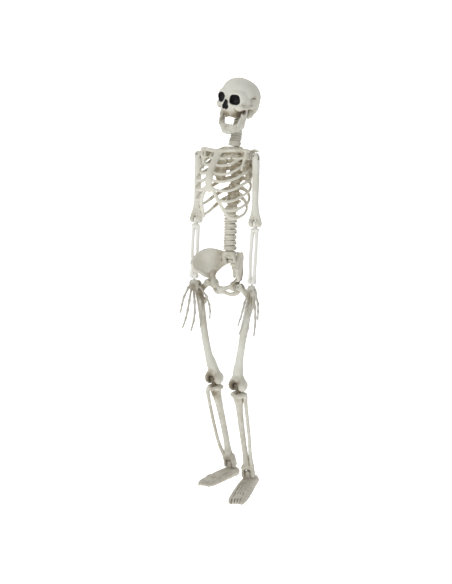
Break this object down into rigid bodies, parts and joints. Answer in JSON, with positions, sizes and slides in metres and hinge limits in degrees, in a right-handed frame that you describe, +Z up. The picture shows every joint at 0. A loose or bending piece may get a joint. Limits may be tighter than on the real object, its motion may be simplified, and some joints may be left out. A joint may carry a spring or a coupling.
{
  "type": "halloween skeleton figure",
  "caption": "Hanging posable skeleton figure with a two-part skull, hinged jaw, open rib cage, pelvis and jointed arms and legs.",
  "frame": {"origin": "the hanging point on top of the skull, midway between the two cord holes", "axes": "+Z up, the figure faces -Y and its left side is +X"},
  "size_m": [0.2182, 0.1606, 0.9159],
  "materials": {
    "bone": "matte moulded bone plastic with a brown wash in the hollows",
    "bone_aged": "matte moulded bone plastic, browner with age paint",
    "steel": "plain steel"
  },
  "bodies": {
    "skull": {"cranium_front": "bone", "cranium_rear": "bone", "nod_pin": "steel", "jaw_screw_right": "steel", "jaw_screw_left": "steel"},
    "jaw": {"jaw": "bone"},
    "neck": {"cervical_spine": "bone"},
    "torso": {"ribcage_front": "bone", "ribcage_back": "bone", "lumbar_spine": "bone", "pelvis": "bone", "sacrum": "bone", "waist_spindle": "steel"},
    "shoulder_right": {"shoulder_link_right": "bone"},
    "upper_arm_right": {"humerus_right": "bone", "shoulder_pin_right": "steel", "elbow_pin_right": "steel"},
    "forearm_right": {"forearm_right": "bone"},
    "hand_right": {"hand_right": "bone", "wrist_peg_right": "bone"},
    "hip_right": {"hip_link_right": "bone"},
    "thigh_right": {"femur_right": "bone", "hip_pin_right": "steel", "knee_pin_right": "steel"},
    "shin_right": {"shin_right": "bone", "ankle_pin_right": "steel"},
    "foot_right": {"foot_right": "bone_aged"},
    "shoulder_left": {"shoulder_link_left": "bone"},
    "upper_arm_left": {"humerus_left": "bone", "shoulder_pin_left": "steel", "elbow_pin_left": "steel"},
    "forearm_left": {"forearm_left": "bone"},
    "hand_left": {"hand_left": "bone", "wrist_peg_left": "bone"},
    "hip_left": {"hip_link_left": "bone"},
    "thigh_left": {"femur_left": "bone", "hip_pin_left": "steel", "knee_pin_left": "steel"},
    "shin_left": {"shin_left": "bone", "ankle_pin_left": "steel"},
    "foot_left": {"foot_left": "bone_aged"}
  },
  "joints": [
    {"name": "jaw_open", "type": "hinge", "parent": "skull", "child": "jaw", "pos_m": [-0.01041, -0.0198, -0.06211], "axis": [0.986, 0.0086, -0.1668], "range_deg": [-24, 6]},
    {"name": "head_nod", "type": "hinge", "parent": "skull", "child": "neck", "pos_m": [-0.01304, -0.00453, -0.07687], "axis": [0.986, 0.0086, -0.1668], "range_deg": [-18, 20]},
    {"name": "neck_turn", "type": "hinge", "parent": "neck", "child": "torso", "pos_m": [-0.0198, -0.0158, -0.15], "axis": [0.091, 0.1517, 0.9842], "range_deg": [-60, 60]},
    {"name": "shoulder_swing_right", "type": "hinge", "parent": "torso", "child": "shoulder_right", "pos_m": [-0.0958, -0.0413, -0.167], "axis": [-1, 0, 0], "range_deg": [0, 150]},
    {"name": "shoulder_raise_right", "type": "hinge", "parent": "shoulder_right", "child": "upper_arm_right", "pos_m": [-0.0958, -0.0413, -0.167], "axis": [0, 0.9989, -0.0471], "range_deg": [-1, 90]},
    {"name": "elbow_bend_right", "type": "hinge", "parent": "upper_arm_right", "child": "forearm_right", "pos_m": [-0.09904, -0.04803, -0.3098], "axis": [-0.9997, 0.0011, 0.0227], "range_deg": [0, 110]},
    {"name": "wrist_turn_right", "type": "hinge", "parent": "forearm_right", "child": "hand_right", "pos_m": [-0.09236, -0.06477, -0.44057], "axis": [0.0507, -0.1268, -0.9906], "range_deg": [-10, 60]},
    {"name": "hip_swing_right", "type": "hinge", "parent": "torso", "child": "hip_right", "pos_m": [-0.06639, -0.0483, -0.44742], "axis": [-0.9994, 0, 0.0349], "range_deg": [-35, 8]},
    {"name": "hip_spread_right", "type": "hinge", "parent": "hip_right", "child": "thigh_right", "pos_m": [-0.06639, -0.0483, -0.44742], "axis": [0.0017, 0.9988, 0.0488], "range_deg": [-1, 40]},
    {"name": "knee_bend_right", "type": "hinge", "parent": "thigh_right", "child": "shin_right", "pos_m": [-0.05997, -0.03777, -0.66307], "axis": [0.9996, -0.0032, 0.0296], "range_deg": [-13, 110]},
    {"name": "ankle_bend_right", "type": "hinge", "parent": "shin_right", "child": "foot_right", "pos_m": [-0.05377, 0.01611, -0.86698], "axis": [0.998, 0.0475, 0.0429], "range_deg": [-25, 40]},
    {"name": "shoulder_swing_left", "type": "hinge", "parent": "torso", "child": "shoulder_left", "pos_m": [0.0562, -0.0413, -0.167], "axis": [-1, 0, 0], "range_deg": [0, 150]},
    {"name": "shoulder_raise_left", "type": "hinge", "parent": "shoulder_left", "child": "upper_arm_left", "pos_m": [0.0562, -0.0413, -0.167], "axis": [0, -0.9986, 0.0523], "range_deg": [-4, 90]},
    {"name": "elbow_bend_left", "type": "hinge", "parent": "upper_arm_left", "child": "forearm_left", "pos_m": [0.06094, -0.04878, -0.30973], "axis": [-0.9995, -0.0017, -0.0331], "range_deg": [0, 110]},
    {"name": "wrist_turn_left", "type": "hinge", "parent": "forearm_left", "child": "hand_left", "pos_m": [0.06255, -0.06349, -0.44089], "axis": [0.0122, -0.1115, -0.9937], "range_deg": [-60, 10]},
    {"name": "hip_swing_left", "type": "hinge", "parent": "torso", "child": "hip_left", "pos_m": [0.02156, -0.0483, -0.45049], "axis": [-0.9994, 0, 0.0349], "range_deg": [-35, 8]},
    {"name": "hip_spread_left", "type": "hinge", "parent": "hip_left", "child": "thigh_left", "pos_m": [0.02156, -0.0483, -0.45049], "axis": [0.0012, -0.9995, 0.0331], "range_deg": [-1, 40]},
    {"name": "knee_bend_left", "type": "hinge", "parent": "thigh_left", "child": "shin_left", "pos_m": [0.01968, -0.05546, -0.66636], "axis": [1, 0.0009, -0.0087], "range_deg": [-13, 110]},
    {"name": "ankle_bend_left", "type": "hinge", "parent": "shin_left", "child": "foot_left", "pos_m": [0.01783, -0.01267, -0.87297], "axis": [0.94, 0.3357, 0.0611], "range_deg": [-25, 40]}
  ]
}
